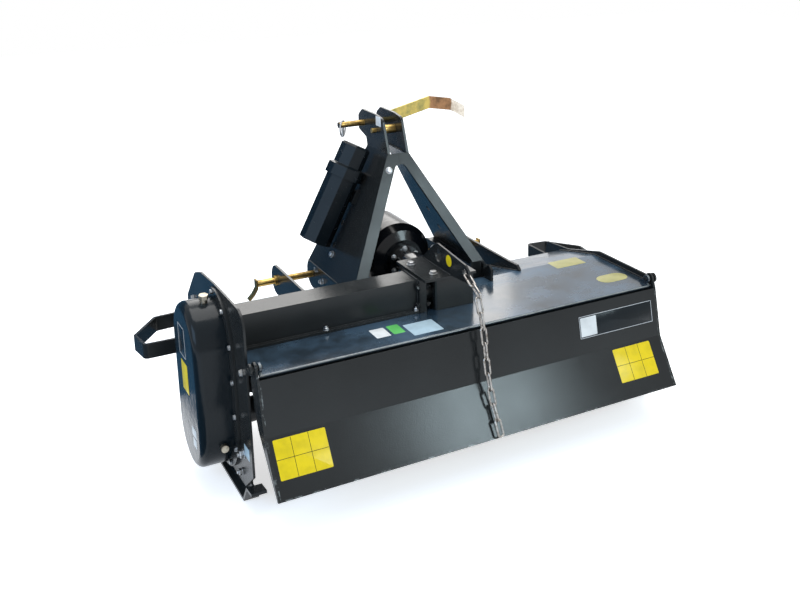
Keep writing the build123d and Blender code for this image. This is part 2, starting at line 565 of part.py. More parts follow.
def hinge_bolt():
    """Right hinge bolt, fast in the hood's lug and the side plate, on which the tailboard's lug turns."""
    return rod_x(HOOD_LUG_X - BOLT_OUT, HALF_WIDTH + PLATE + BOLT_OUT, HINGE_Y, HINGE_Z, HINGE_BOLT_R)


# ---- chain ----

LINK_PITCH, LINK_WIDE, WIRE = 42.0, 22.0, 6.0
LINK_SLACK = 0.8                    # between the wires of two links
LINK_SIDES = 6                      # straight runs in each round end
CHAIN_LINE = [(-269.2, 526.4), (-326, 498), (-345, 450), (-360, 405), (-370, 360), (-377, 318), (-388, 268), (-403, 226),
              (-421, 184), (-443, 150), (-464, 112)]


def ring(points, radius, sides):
    """A bar of even section along a closed run of (X, Z) points, with mitred corners."""
    wire = Wire.make_polygon([(x, 0, z) for x, z in points], close=True)
    middle = Plane(origin=wire.edges()[0] @ 0.5, z_dir=wire.edges()[0] % 0.5)
    start = wire.edges()[0].trim(0.5, 1)
    path = Wire([start, *wire.edges()[1:], wire.edges()[0].trim(0, 0.5)])
    return sweep(middle * RegularPolygon(radius, sides), path=path, transition=Transition.RIGHT)


def link():
    """One long link about the origin, its length along Z, flat in XZ."""
    bend = (LINK_WIDE - WIRE) / 2
    run = (LINK_PITCH + LINK_SLACK + WIRE) / 2 - bend
    points = []
    for k in range(2 * LINK_SIDES):
        turn = radians(180 / LINK_SIDES) * (k + 0.5)
        points.append((bend * cos(turn), bend * sin(turn) + (run if k < LINK_SIDES else -run)))
    return ring(points, WIRE / 2, 6)


def chain():
    """Links end to end down the route, every other one turned a quarter."""
    links = []
    run = Polyline(*[(0, y, z) for y, z in CHAIN_LINE])
    count = int(run.length // LINK_PITCH)
    for n in range(count):
        here = run @ ((n + 0.5) * LINK_PITCH / run.length)
        way = run % ((n + 0.5) * LINK_PITCH / run.length)
        tilt = degrees(atan2(-way.Y, -way.Z))
        links.append(Pos(here.X, here.Y, here.Z) * Rot(-tilt, 0, 0) * Rot(0, 0, 90 * (n % 2)) * link())
    return Compound(links)


# ---- manual canister ----

CANISTER_Y = 265.0
CANISTER_FOOT_Z, CANISTER_END_Z = 514.0, 799.0      # ends of its middle line
CANISTER_OFF = 60.0                 # middle line to the left web's outer face
CANISTER_R, COLLAR_R, CAP_R = 50.0, 58.0, 46.0
COLLAR_LENGTH, COLLAR_BEVEL = 40.0, 6.0
CAP_LENGTH = 68.0


def octagon(radius):
    return RegularPolygon(radius, 8, rotation=22.5)


def canister():
    """Tube for papers beside the left web, with its collar and cap, and the bracket that holds it."""
    rise = sqrt(1 + SPLAY**2)
    foot_x = -web_x(CANISTER_FOOT_Z) - CANISTER_OFF * rise
    length = (CANISTER_END_Z - CANISTER_FOOT_Z) * rise
    foot = Plane(origin=(foot_x, CANISTER_Y, CANISTER_FOOT_Z), x_dir=(0, 1, 0), z_dir=(SPLAY, 0, 1))
    body_length = length - CAP_LENGTH - COLLAR_LENGTH
    body = extrude(foot * octagon(CANISTER_R), amount=body_length)
    collar = foot.offset(body_length)
    cap = extrude(collar * octagon(COLLAR_R), amount=COLLAR_LENGTH - COLLAR_BEVEL)
    slope = [collar.offset(COLLAR_LENGTH - COLLAR_BEVEL) * octagon(COLLAR_R), collar.offset(COLLAR_LENGTH) * octagon(CAP_R)]
    cap += loft(slope)
    tube = extrude(collar.offset(COLLAR_LENGTH) * octagon(CAP_R), amount=CAP_LENGTH)
    top_edges = tube.faces().sort_by_distance(foot.offset(length).origin)[0].edges()
    cap += chamfer(top_edges, COLLAR_BEVEL)
    flat = CANISTER_R * cos(radians(22.5))
    middle = foot.offset(body_length * 0.8).origin
    to_web = Plane(origin=middle, x_dir=(0, 1, 0), z_dir=(1, 0, -SPLAY))
    bracket = extrude(to_web.offset(flat) * Rectangle(CANISTER_R * 1.4, CANISTER_R * 0.8), amount=CANISTER_OFF - flat)
    return {"manual_canister": body, "canister_cap": cap, "canister_bracket": bracket}


def build():
    nodes = {"hood_deck": hood(), "cross_beam": cross_beam(), "beam_flanges": beam_flanges(),
             "centre_box": centre_box(), "chain_bracket": bracket(), "gearbox": gearbox(), "pto_shaft": pto_shaft(),
             "pto_shield": pto_shield(), "top_spacer": top_spacer(), "top_link_pin": top_pin(),
             "top_lynch_pin": lynch_pin(TOP_LYNCH_X, TOP_PIN_Y, TOP_PIN_Z, TOP_PIN_R, TOP_LYNCH_TURN), "rotor_shaft": rotor_shaft(),
             "rotor_tines": tines(), "tailboard_panel": tailboard_panel(),
             "lift_chain": chain()}
    nodes.update({f"side_plate_{s}": p for s, p in side_plates().items()})
    nodes.update(chain_case())
    nodes.update(bearings())
    nodes.update(canister())
    pairs = {"skid": skid(), "mast_leg": mast_leg(), "mast_ear": top_ear(), "guard": guard(),
             "hitch_inner_ear": hitch_ear(INNER_EAR_X, INNER_EAR_REAR_Y, FOOT_Z + 2),
             "hitch_outer_ear": hitch_ear(OUTER_EAR_X, OUTER_EAR_REAR_Y, EAR_TOP_Z + 2),
             "lower_pin": lower_pin(),
             "tailboard_end": tailboard_end()}
    for name, shape in (("hinge_bolts", hinge_bolt()), ("lower_lynch_pins", lynch_pin(LOWER_LYNCH_X, PIN_Y, PIN_Z, PIN_R))):
        nodes[name] = Compound([shape, mirrored(shape)])
    for name, shape in pairs.items():
        nodes[f"{name}_right"] = shape
        nodes[f"{name}_left"] = mirrored(shape)
    return nodes


def main():
    os.makedirs("parts", exist_ok=True)
    nodes = build()
    boxes = [shape.bounding_box() for shape in nodes.values()]
    shift = -(min(b.min.Y for b in boxes) + max(b.max.Y for b in boxes)) / 2
    print("shift", shift, "x", min(b.min.X for b in boxes), max(b.max.X for b in boxes))
    for name, shape in nodes.items():
        export_step(Pos(0, shift, 0) * shape, f"parts/{name}.step")


main()
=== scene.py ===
"""Rotary tiller: the CAD model as a fixed frame, with finishes, bolts, blank labels, welds and a chain."""

import json
import math

import bmesh
import bpy
import numpy as np
from mathutils import Matrix, Vector


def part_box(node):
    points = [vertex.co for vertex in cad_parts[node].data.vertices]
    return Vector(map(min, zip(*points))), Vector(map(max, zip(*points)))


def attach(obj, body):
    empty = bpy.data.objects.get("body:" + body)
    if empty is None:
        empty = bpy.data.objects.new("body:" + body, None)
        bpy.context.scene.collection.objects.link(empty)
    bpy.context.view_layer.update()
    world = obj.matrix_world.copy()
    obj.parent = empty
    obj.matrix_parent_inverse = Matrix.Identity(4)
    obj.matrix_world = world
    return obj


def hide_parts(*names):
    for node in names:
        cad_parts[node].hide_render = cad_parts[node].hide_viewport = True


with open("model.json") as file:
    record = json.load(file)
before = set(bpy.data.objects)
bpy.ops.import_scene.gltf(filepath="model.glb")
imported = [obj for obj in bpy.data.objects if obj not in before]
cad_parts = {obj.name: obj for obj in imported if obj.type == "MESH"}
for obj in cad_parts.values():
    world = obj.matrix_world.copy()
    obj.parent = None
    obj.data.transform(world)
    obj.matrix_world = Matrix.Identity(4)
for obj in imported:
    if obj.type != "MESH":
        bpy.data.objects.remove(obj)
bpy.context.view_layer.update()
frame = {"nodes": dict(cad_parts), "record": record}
box = {node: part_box(node) for node in frame["nodes"]}
LOW, HIGH = 0, 1
MM = 0.001
UP, LEFT, RIGHT, REAR, FRONT = (0, 0, 1), (-1, 0, 0), (1, 0, 0), (0, -1, 0), (0, 1, 0)


# ---------------------------------------------------------------- sizes of the part, in its own millimetres

HALF_WIDTH = 624                    # centre plane to the inner face of a side plate
DECK_Z = 393
ROTOR_Y, ROTOR_Z = -60, 178
PTO_END_Y, SHAFT_Z = 335, 440
FLAP_TOP, FLAP_BEND, FLAP_EDGE = (-331, 387), (-361, 244), (-446, 112)      # (Y, Z) on the outer face
BEAM_END_X, BEAM_REAR_Y, BEAM_FRONT_Y, BEAM_TOP_Z = -92, -144, -56, 489
BRACKET_T, CHAIN_EAR_X = 8, -3      # the bracket's plate, and its ear's left face
HITCH_PLATE_X = (206, 214)          # faces of the inner hitch plate
OUTER_PLATE_X = (325, 333)
MAST_FOOT_X, MAST_FOOT_Y, MAST_FOOT_Z = 215, 20, 441
MAST_TOP_X, MAST_TOP_Y, MAST_TOP_Z = 35, 167, 782

# metres in the frame: the hood's bend, and the tailboard's end and foot
BEND_Y = box["pto_shaft"][HIGH][1] - PTO_END_Y * MM
FLAP_END = box["tailboard_panel"][HIGH][0]
FLAP_FOOT = box["tailboard_panel"][LOW][2]


def at(x, y, z):
    """A place written as the part's are: millimetres from the hood's bend, on the floor."""
    return Vector((x * MM, y * MM + BEND_Y, z * MM))


# ---------------------------------------------------------------- camera

CAMERA_AT = (-1.262, -2.629, 1.524)
CAMERA_AZIMUTH, CAMERA_DOWN, CAMERA_ROLL = 30.72, 14.25, -0.07    # degrees
CAMERA_LENS, CAMERA_SENSOR = 46.31, 36
CAMERA_SHIFT = (-0.14, -0.17)
CAMERA_FAR = 100


def link_object(name, data):
    """A new object in the scene."""
    obj = bpy.data.objects.new(name, data)
    bpy.context.scene.collection.objects.link(obj)
    return obj


def make_camera():
    data = bpy.data.cameras.new("camera")
    data.lens, data.sensor_width = CAMERA_LENS, CAMERA_SENSOR
    data.shift_x, data.shift_y = CAMERA_SHIFT
    data.clip_end = CAMERA_FAR
    camera = link_object("camera", data)
    turn = Matrix.Rotation(math.radians(-CAMERA_AZIMUTH), 4, "Z")
    turn = turn @ Matrix.Rotation(math.radians(90 - CAMERA_DOWN), 4, "X")
    turn = turn @ Matrix.Rotation(math.radians(CAMERA_ROLL), 4, "Z")
    camera.matrix_world = Matrix.Translation(CAMERA_AT) @ turn
    bpy.context.scene.camera = camera


# ---------------------------------------------------------------- node trees

class Nodes:
    """A small builder of node trees."""

    def __init__(self, tree):
        self.tree = tree

    def add(self, kind, **values):
        node = self.tree.nodes.new(kind)
        for key, value in values.items():
            setattr(node, key, value)
        return node

    def link(self, source, target):
        self.tree.links.new(source, target)

    def maths(self, kind, a, b):
        node = self.add("ShaderNodeMath", operation=kind)
        for socket, value in zip(node.inputs, (a, b)):
            if isinstance(value, (int, float)):
                socket.default_value = value
            else:
                self.link(value, socket)
        return node.outputs["Value"]

    def blend(self, factor, a, b):
        """One shader or the other by a factor."""
        node = self.add("ShaderNodeMixShader")
        for socket, source in zip(node.inputs, (factor, a, b)):
            self.link(source, socket)
        return node.outputs["Shader"]

    def seen(self):
        """1 for rays of the camera and for mirrored and refracted ones, 0 for the rest."""
        path = self.add("ShaderNodeLightPath")
        bounced = self.maths("MAXIMUM", path.outputs["Is Glossy Ray"], path.outputs["Is Transmission Ray"])
        return self.maths("MAXIMUM", path.outputs["Is Camera Ray"], bounced)


class Shader(Nodes):
    """A material's tree round one Principled shader."""

    def __init__(self, name):
        self.material = bpy.data.materials.new(name)
        self.material.use_nodes = True
        super().__init__(self.material.node_tree)
        self.out = self.tree.nodes["Principled BSDF"]
        self.place = self.add("ShaderNodeTexCoord").outputs["Object"]

    def noise(self, scale, detail=3.0, rough=0.55, stretch=None):
        """Noise through the object; stretch multiplies the place along each axis."""
        node = self.add("ShaderNodeTexNoise")
        node.inputs["Scale"].default_value = scale
        node.inputs["Detail"].default_value = detail
        node.inputs["Roughness"].default_value = rough
        place = self.place
        if stretch:
            mapping = self.add("ShaderNodeMapping")
            mapping.inputs["Scale"].default_value = stretch
            self.link(place, mapping.inputs["Vector"])
            place = mapping.outputs["Vector"]
        self.link(place, node.inputs["Vector"])
        return node.outputs["Fac"]

    def span(self, source, low, high, to_low=0.0, to_high=1.0):
        """One range of values stretched to another."""
        node = self.add("ShaderNodeMapRange")
        for socket, value in zip(("From Min", "From Max", "To Min", "To Max"), (low, high, to_low, to_high)):
            node.inputs[socket].default_value = value
        self.link(source, node.inputs["Value"])
        return node.outputs["Result"]

    def patches(self, scale, low, high, to_low=0.0, to_high=1.0, **kind):
        """Blots of noise: none where it is below low, full where it is above high."""
        return self.span(self.noise(scale, **kind), low, high, to_low, to_high)

    def times(self, a, b):
        return self.maths("MULTIPLY", a, b)

    def mix(self, factor, a, b):
        """One colour or the other by a factor."""
        node = self.add("ShaderNodeMix", data_type="RGBA")
        self.link(factor, node.inputs["Factor"])
        for socket, value in ((node.inputs["A"], a), (node.inputs["B"], b)):
            if isinstance(value, tuple):
                socket.default_value = (*value, 1)
            else:
                self.link(value, socket)
        return node.outputs["Result"]

    def parts(self, vector):
        """A vector's X, Y and Z."""
        split = self.add("ShaderNodeSeparateXYZ")
        self.link(vector, split.inputs["Vector"])
        return split.outputs

    def normal(self):
        """The X, Y and Z of the way the surface faces."""
        return self.parts(self.add("ShaderNodeNewGeometry").outputs["Normal"])

    def bump(self, source, strength, edge=1.5 * MM):
        """Relief up to a millimetre, over edges that a bevel rounds."""
        node = self.add("ShaderNodeBump")
        node.inputs["Strength"].default_value = strength
        node.inputs["Distance"].default_value = MM
        self.link(source, node.inputs["Height"])
        if edge:
            bevel = self.add("ShaderNodeBevel", samples=4)
            bevel.inputs["Radius"].default_value = edge
            self.link(bevel.outputs["Normal"], node.inputs["Normal"])
        self.link(node.outputs["Normal"], self.out.inputs["Normal"])

    def set(self, **values):
        """Values, colours and links for the shader's sockets."""
        for key, value in values.items():
            socket = self.out.inputs[key.replace("_", " ")]
            if isinstance(value, (int, float)):
                socket.default_value = value
            elif isinstance(value, tuple):
                socket.default_value = (*value, 1)
            else:
                self.link(value, socket)
        return self.material


# ---------------------------------------------------------------- materials

# The third tone is that of chips, and on the hood's rear bend also of a painted highlight.
DUST, SCRATCHED, CHIPPED_AND_HIGHLIT = (0.30, 0.31, 0.31), (0.12, 0.12, 0.12), (0.27, 0.29, 0.28)
SCUFFED, RUBBED = (0.1, 0.1, 0.11), (0.28, 0.27, 0.24)
END_CHIPS, FOOT_CHIPS = (0.003, 0.001), (0.006, 0.004)      # metres in from the edge: none there, all there
METAL_GRAIN, METAL_EDGE = 500, 0.8 * MM

# the handle's tones, and the metres to the right of the middle over which it turns to each
DARK_ZINC = ((0.42, 0.28, 0.09), (0.03, 0.022, 0.018))
OLIVE_ZINC, OLIVE_FROM = ((0.5, 0.38, 0.11), (0.26, 0.24, 0.09)), (-0.02, -0.01)
BROWN_ZINC, BROWN_FROM = ((0.30, 0.16, 0.08), (0.16, 0.09, 0.05)), (0.205, 0.211)
PALE_ZINC, PALE_FROM = ((0.72, 0.66, 0.58), (0.5, 0.42, 0.34)), (0.283, 0.289)
RAGGED = 0.02


def shades(colour, dark, light):
    """A darker and a lighter tone of a colour."""
    return tuple(c * dark for c in colour), tuple(c * light for c in colour)


def paint(name, colour, rough, coat, dust_and_sheen=0.1, gloss=0.3, peel=0.05, grain=270, dust_and_sheen_colour=DUST, wear_and_highlight=None):
    """Enamel on sheet steel: slow tone changes, orange peel, fine scratches, and blots on what faces up:
    dust, and on the hood a painted blue sky reflection mixed with dust.
    """
    s = Shader(name)
    tone = s.mix(s.patches(3.5, 0.35, 0.65), *shades(colour, 0.85, 1.15))
    # Blots of the film colour on what faces up: grey dust, and on the hood a painted blue sky reflection
    # mixed with dust.
    dust_and_sheen_blots = s.patches(7, 0.35, 0.75, detail=6, rough=0.6)
    up = s.span(s.normal()["Z"], 0.6, 1.0)
    dust_and_sheen_mask = s.times(s.times(dust_and_sheen_blots, up), dust_and_sheen)
    tone = s.mix(dust_and_sheen_mask, tone, dust_and_sheen_colour)
    scratch = s.patches(90, 0.69, 0.74, detail=8, rough=0.75, stretch=(0.1, 1.6, 1.0))
    tone = s.mix(s.times(scratch, 0.25), tone, SCRATCHED)
    # Chips along edges, and on the hood's rear bend a painted highlight as well.
    if wear_and_highlight:
        tone = s.mix(wear_and_highlight(s), tone, CHIPPED_AND_HIGHLIT)
    wet = s.patches(9, 0.3, 0.7, rough * 0.85, rough * 1.2, detail=4)
    wet = s.maths("ADD", wet, s.times(dust_and_sheen_mask, 0.5))
    s.bump(s.maths("ADD", s.noise(grain, 2), s.times(scratch, -0.4)), peel)
    s.set(Coat_Weight=coat, Coat_Roughness=0.1, Specular_IOR_Level=gloss)
    return s.set(Base_Color=tone, Roughness=wet)


def rubbed_and_highlit_bends(s):
    """Paint rubbed thin, with a painted highlight over it, on bends that face the rear and up."""
    normal = s.normal()
    rear = s.span(s.times(normal["Y"], -1.0), 0.3, 0.5)
    bend = s.times(rear, s.span(normal["Z"], 0.3, 0.5))
    return s.times(bend, s.patches(25, 0.3, 0.6, 0.3, 0.9, detail=5, rough=0.7))


def rims(s):
    """Chips along thin rims that face the rear."""
    rear = s.span(s.times(s.normal()["Y"], -1.0), 0.75, 0.85)
    return s.times(rear, s.patches(60, 0.52, 0.7, 0.0, 0.6, detail=5, rough=0.7))


def flap_edges(s):
    """Chips along the tailboard's lower edge and its two ends."""
    place = s.parts(s.place)
    ends = s.span(s.maths("ABSOLUTE", place["X"], 0.0), *(FLAP_END - d for d in END_CHIPS))
    foot = s.span(s.times(place["Z"], -1.0), *(-FLAP_FOOT - d for d in FOOT_CHIPS))
    edge = s.maths("MAXIMUM", ends, foot)
    return s.times(edge, s.patches(28, 0.52, 0.6, 0.0, 0.8, detail=6, rough=0.7))


def metal(name, colour, rough, stain, stain_colour, scale=45.0):
    """Bare or plated metal with stains and a dull grain."""
    s = Shader(name)
    marks = s.patches(scale, 0.45, 0.7, detail=6, rough=0.65)
    tone = s.mix(s.times(marks, stain), colour, stain_colour)
    rust = s.patches(scale * 0.4, 0.6, 0.72, detail=5, rough=0.6)
    tone = s.mix(s.times(rust, stain * 0.5), tone, tuple(c * 0.35 for c in stain_colour))
    s.bump(s.noise(METAL_GRAIN, 3, 0.6), 0.12, METAL_EDGE)
    return s.set(Base_Color=tone, Metallic=1.0, Roughness=s.span(marks, 0, 1, rough, rough + 0.22))


def handle_zinc():
    """Yellow zinc: dark on the top pin, olive on its handle, browned at the bend, worn pale at the end."""
    s = Shader("handle_zinc")
    along = s.parts(s.place)["X"]
    ragged = s.maths("ADD", along, s.times(s.noise(30, 4), RAGGED))
    blotch = s.patches(38, 0.42, 0.62, detail=6, rough=0.7)
    tone = s.mix(s.patches(22, 0.4, 0.55, detail=5), *DARK_ZINC)
    tone = s.mix(s.span(along, *OLIVE_FROM), tone, s.mix(blotch, *OLIVE_ZINC))
    tone = s.mix(s.span(ragged, *BROWN_FROM), tone, s.mix(blotch, *BROWN_ZINC))
    tone = s.mix(s.span(ragged, *PALE_FROM), tone, s.mix(blotch, *PALE_ZINC))
    s.bump(s.noise(METAL_GRAIN, 3), 0.12, METAL_EDGE)
    return s.set(Base_Color=tone, Metallic=1.0, Roughness=s.span(blotch, 0, 1, 0.28, 0.5))


def plastic(name, colour, rough):
    """Black plastic with scuffs and a fine grain."""
    s = Shader(name)
    dark, light = shades(colour, 0.8, 1.3)
    tone = s.mix(s.patches(6, 0.35, 0.65), dark, tuple(c + 0.004 for c in light))
    scuff = s.patches(70, 0.6, 0.7, detail=6, rough=0.7, stretch=(1, 0.4, 1))
    tone = s.mix(s.times(scuff, 0.1), tone, SCUFFED)
    s.bump(s.noise(900, 2), 0.1)
    return s.set(Base_Color=tone, Roughness=s.span(scuff, 0, 1, rough, rough + 0.15), Specular_IOR_Level=0.12)


def label(name, colour):
    """Vinyl sticker: even colour, a little dull in places and rubbed."""
    s = Shader(name)
    tone = s.mix(s.patches(30, 0.4, 0.75, detail=5), *shades(colour, 1.0, 0.8))
    rub = s.patches(160, 0.66, 0.72, detail=6, rough=0.75)
    tone = s.mix(s.times(rub, 0.5), tone, RUBBED)
    s.bump(s.noise(250, 2), 0.05, edge=0)
    s.set(Coat_Weight=0.12, Coat_Roughness=0.15, Specular_IOR_Level=0.25)
    return s.set(Base_Color=tone, Roughness=0.4)


DARK = {"colour": (0.0150, 0.0165, 0.0168), "rough": 0.22, "coat": 0.0, "dust_and_sheen": 0.06, "gloss": 0.24,
        "peel": 0.2, "grain": 260}
FLAP = {**DARK, "rough": 0.155, "peel": 0.17, "grain": 290}
ZINC_STAIN, RUST = (0.35, 0.33, 0.3), (0.3, 0.17, 0.08)


def make_materials():
    return {
        "dark_paint": paint("dark_paint", **DARK),
        "flap_paint": paint("flap_paint", **FLAP, wear_and_highlight=flap_edges),
        "worn_paint": paint("worn_paint", **DARK, wear_and_highlight=rims),
        # On the hood the blots on what faces up are a painted blue sky reflection mixed with dust, and its
        # rear bend gets a painted highlight.
        "deck_paint": paint("deck_paint", (0.016, 0.026, 0.036), 0.17, 0.4, dust_and_sheen=0.45, gloss=0.42,
                            dust_and_sheen_colour=(0.11, 0.22, 0.35), wear_and_highlight=rubbed_and_highlit_bends),
        "case_paint": paint("case_paint", (0.005, 0.009, 0.012), 0.2, 0.12, dust_and_sheen=0.03, gloss=0.12,
                            peel=0.7, grain=32),
        "rotor_paint": paint("rotor_paint", (0.016, 0.017, 0.019), 0.45, 0.05),
        "tine_steel": paint("tine_steel", (0.020, 0.020, 0.021), 0.45, 0.05),
        "gloss_cast": paint("gloss_cast", (0.006, 0.0065, 0.008), 0.14, 0.6, dust_and_sheen=0.03, gloss=0.45,
                            peel=0.8, grain=55),
        "black_plastic": plastic("black_plastic", (0.0025, 0.005, 0.007), 0.2),
        "shield_plastic": paint("shield_plastic", (0.004, 0.005, 0.007), 0.16, 0.1, dust_and_sheen=0.03, gloss=0.2,
                                peel=0.6, grain=45),
        "bare_shaft": metal("bare_shaft", (0.55, 0.55, 0.54), 0.3, 0.5, RUST),
        "brass_plug": metal("brass_plug", (0.48, 0.44, 0.36), 0.3, 0.6, (0.16, 0.11, 0.06)),
        "yellow_zinc": metal("yellow_zinc", (0.5, 0.34, 0.11), 0.32, 0.95, (0.035, 0.026, 0.02), 16),
        "handle_zinc": handle_zinc(),
        "bright_zinc": metal("bright_zinc", (0.44, 0.46, 0.48), 0.34, 0.7, ZINC_STAIN),
        "zinc_chain": metal("zinc_chain", (0.40, 0.38, 0.36), 0.34, 0.95, (0.10, 0.075, 0.055), 130),
        "yellow_label": label("yellow_label", (0.84, 0.62, 0.004)),
        "white_label": label("white_label", (0.78, 0.79, 0.78)),
        "grey_label": label("grey_label", (0.55, 0.56, 0.57)),
        "green_label": label("green_label", (0.12, 0.5, 0.12)),
        "blue_label": label("blue_label", (0.42, 0.55, 0.62)),
        "pale_yellow_label": label("pale_yellow_label", (0.40, 0.37, 0.15)),
    }


OWN_FINISH = {
    "top_link_pin": "handle_zinc",
    "top_spacer": "yellow_zinc",
    "hinge_bolts": "worn_paint",
    "pto_shield": "shield_plastic",
    "tailboard_panel": "flap_paint",
    "tailboard_end_left": "worn_paint",
    "tailboard_end_right": "worn_paint",
}


def dress_frame():
    """Each node of the part gets its own finish, or the one of its slot."""
    for node, obj in frame["nodes"].items():
        slot = next(s["material_slot"] for s in frame["record"]["subparts"] if s["node"] == node)
        obj.data.materials.clear()
        obj.data.materials.append(materials[OWN_FINISH.get(node, slot)])


# ---------------------------------------------------------------- pieces

def mesh_from(name, bm):
    """A mesh of a bmesh, which is freed."""
    mesh = bpy.data.meshes.new(name)
    bm.to_mesh(mesh)
    bm.free()
    return mesh


def piece(name, bm, body, slot, material=None, smooth=35):
    """One object from a bmesh, riding on a body; smooth is the sharpest bend that is shaded round."""
    bmesh.ops.recalc_face_normals(bm, faces=bm.faces)
    mesh = mesh_from(name, bm)
    mesh.materials.append(materials[material or slot])
    obj = link_object(name, mesh)
    mesh.shade_smooth()
    mesh.set_sharp_from_angle(angle=math.radians(smooth))
    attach(obj, body)
    return obj


def towards(axis):
    """A turn that takes +Z to an axis."""
    return Vector((0, 0, 1)).rotation_difference(Vector(axis)).to_matrix().to_4x4()


def on_circle(radius, sides, spin=0.0):
    """Places round a circle, each as (across, up)."""
    angles = [2 * math.pi * (k + spin) / sides for k in range(sides)]
    return [(radius * math.cos(a), radius * math.sin(a)) for a in angles]


def join(bm, low, high):
    """Faces between two rings of as many vertices."""
    count = len(low)
    for k in range(count):
        bm.faces.new((low[k], low[(k + 1) % count], high[(k + 1) % count], high[k]))


def closed(bm, rings):
    """A closed skin through rings from one end to the other."""
    for low, high in zip(rings, rings[1:]):
        join(bm, low, high)
    bm.faces.new(rings[0][::-1])
    bm.faces.new(rings[-1])


def lathe(bm, matrix, profile, sides=24, spin=0.0):
    """A closed turned body from (radius, height) points; sides=6 makes a hexagon."""
    closed(bm, [[bm.verts.new(matrix @ Vector((x, y, height))) for x, y in on_circle(radius, sides, spin)]
                for radius, height in profile])


# ---------------------------------------------------------------- fasteners

# in thread diameters; the washer as (radius, height)
HEAD_CORNER, HEAD_HEIGHT, NUT_HEIGHT, WASHER_HEIGHT = 0.95, 0.65, 0.8, 0.16
WASHER = ((1.05, -0.05), (1.1, 0.112), (1.0, 0.16))

# (radius, height) above the washer: height in heights of the head, radius in thread diameters, and for the
# hexagon in its corner radius
HEXAGON = ((0.99, 0), (1, 0.85), (0.82, 1))
CROWN = ((0.66, 0.98), (0.6, 1.04))
THREAD_END = ((0.5, 0), (0.5, 1.45), (0.38, 1.6))
CROWN_SIDES, THREAD_SIDES = 18, 14

BOLT_SMOOTH = 28
TURN_BETWEEN = 0.37      # how far each bolt in a row is turned from the one before, in sides of the hexagon


def bolt(bm, place, axis, size, nut=False, spin=0.0):
    """A hexagon head, or a nut with its thread's end, on a washer; size is the thread's diameter."""
    m = Matrix.Translation(place) @ towards(axis)
    head = size * (NUT_HEIGHT if nut else HEAD_HEIGHT)

    def on_washer(profile, wide):
        return [(wide * r, size * WASHER_HEIGHT + head * h) for r, h in profile]

    lathe(bm, m, [(size * r, size * h) for r, h in WASHER])
    lathe(bm, m, on_washer(HEXAGON, size * HEAD_CORNER), 6, spin)
    if nut:
        lathe(bm, m, on_washer(THREAD_END, size), THREAD_SIDES)
    else:
        lathe(bm, m, on_washer(CROWN, size), CROWN_SIDES)


def bolts(name, body, slot, table):
    """One piece of many bolts; each row is (x, y, z), axis, thread, nut."""
    bm = bmesh.new()
    for k, (place, axis, size, nut) in enumerate(table):
        bolt(bm, at(*place), axis, size * MM, nut, spin=TURN_BETWEEN * k)
    piece(name, bm, body, slot, smooth=BOLT_SMOOTH)


def around_stadium(radius, centre_y, low_z, high_z, x, step):
    """Places along the rim of an upright stadium, about a step apart."""
    straight, arc = high_z - low_z, math.pi * radius
    count = round(2 * (straight + arc) / step)
    places = []
    for k in range(count):
        s = (k + 0.5) * 2 * (straight + arc) / count
        if s < straight:
            places.append((x, centre_y - radius, low_z + s))
        elif s < straight + arc:
            a = math.pi - (s - straight) / radius
            places.append((x, centre_y + radius * math.cos(a), high_z + radius * math.sin(a)))
        elif s < 2 * straight + arc:
            places.append((x, centre_y + radius, high_z - (s - straight - arc)))
        else:
            a = -(s - 2 * straight - arc) / radius
            places.append((x, centre_y + radius * math.cos(a), low_z + radius * math.sin(a)))
    return places


CASE_BOLT, CASE_BOLT_STEP, CASE_BOLT_OUT = 7, 96, 3      # out: past the middle of the flange's rim
# rows of y, z, thread, nut
LEFT_PLATE_BOLTS = ((-241, 376, 9, False), (-179, 68, 10, True), (225, 420, 9, False))
SKID_BOLT, SKID_BOLT_Y, SKID_BOLT_Z = 12, (-205, 125), 132
BEARING_BOLT, BEARING_BOLT_R, BEARING_RIM_T = 8, 52, 11
STRIP_BOLT, STRIP_BOLT_X, STRIP_BOLT_Y, STRIP_T = 8, (-370, -100), -150, 8
BEAM_BOLT, BEAM_BOLT_Y, BEAM_BOLT_Z, BEAM_FLANGES_T = 10, (-151, -49), (414, 468), 22
BRACKET_BOLT, BRACKET_BOLTS = 11, ((-39, -140), (52, -150), (-60, -36), (55, -36))
RING_BOLT, RING_BOLT_R, RING_BOLT_Y = 8, 43, 138
HITCH_BOLT, HITCH_BOLTS = 10, ((344, 392, True), (296, 366, False))      # y, z, nut on the inner face


def make_case_bolts():
    """Bolts round the chain case's flange."""
    flange, cover = box["chain_case_flange"], box["chain_case_cover"]
    half = (flange[HIGH][1] - flange[LOW][1]) / 2 / MM
    inner = (cover[HIGH][1] - cover[LOW][1]) / 2 / MM
    middle = ((flange[LOW][1] + flange[HIGH][1]) / 2 - BEND_Y) / MM
    low, high = flange[LOW][2] / MM + half, flange[HIGH][2] / MM - half
    face = flange[LOW][0] / MM
    rim = around_stadium((half + inner) / 2 + CASE_BOLT_OUT, middle, low, high, face, CASE_BOLT_STEP)
    bolts("case_flange_bolts", "frame", "bright_zinc", [(place, LEFT, CASE_BOLT, False) for place in rim])


def make_plate_bolts():
    """The left side plate's bolts, both skids' nuts, and the right bearing's bolts."""
    left = box["side_plate_left"][LOW][0] / MM
    right = box["side_plate_right"][HIGH][0] / MM
    table = [((left, y, z), LEFT, size, nut) for y, z, size, nut in LEFT_PLATE_BOLTS]
    bolts("left_plate_bolts", "frame", "bright_zinc", table)
    table = [((side * right, y, SKID_BOLT_Z), (side, 0, 0), SKID_BOLT, True)
             for side in (1, -1) for y in SKID_BOLT_Y]
    bolts("skid_bolts", "frame", "bright_zinc", table)
    table = [((right + BEARING_RIM_T, ROTOR_Y + across, ROTOR_Z + up), RIGHT, BEARING_BOLT, False)
             for across, up in on_circle(BEARING_BOLT_R, 6, 0.5)]
    bolts("bearing_bolts", "frame", "bright_zinc", table)


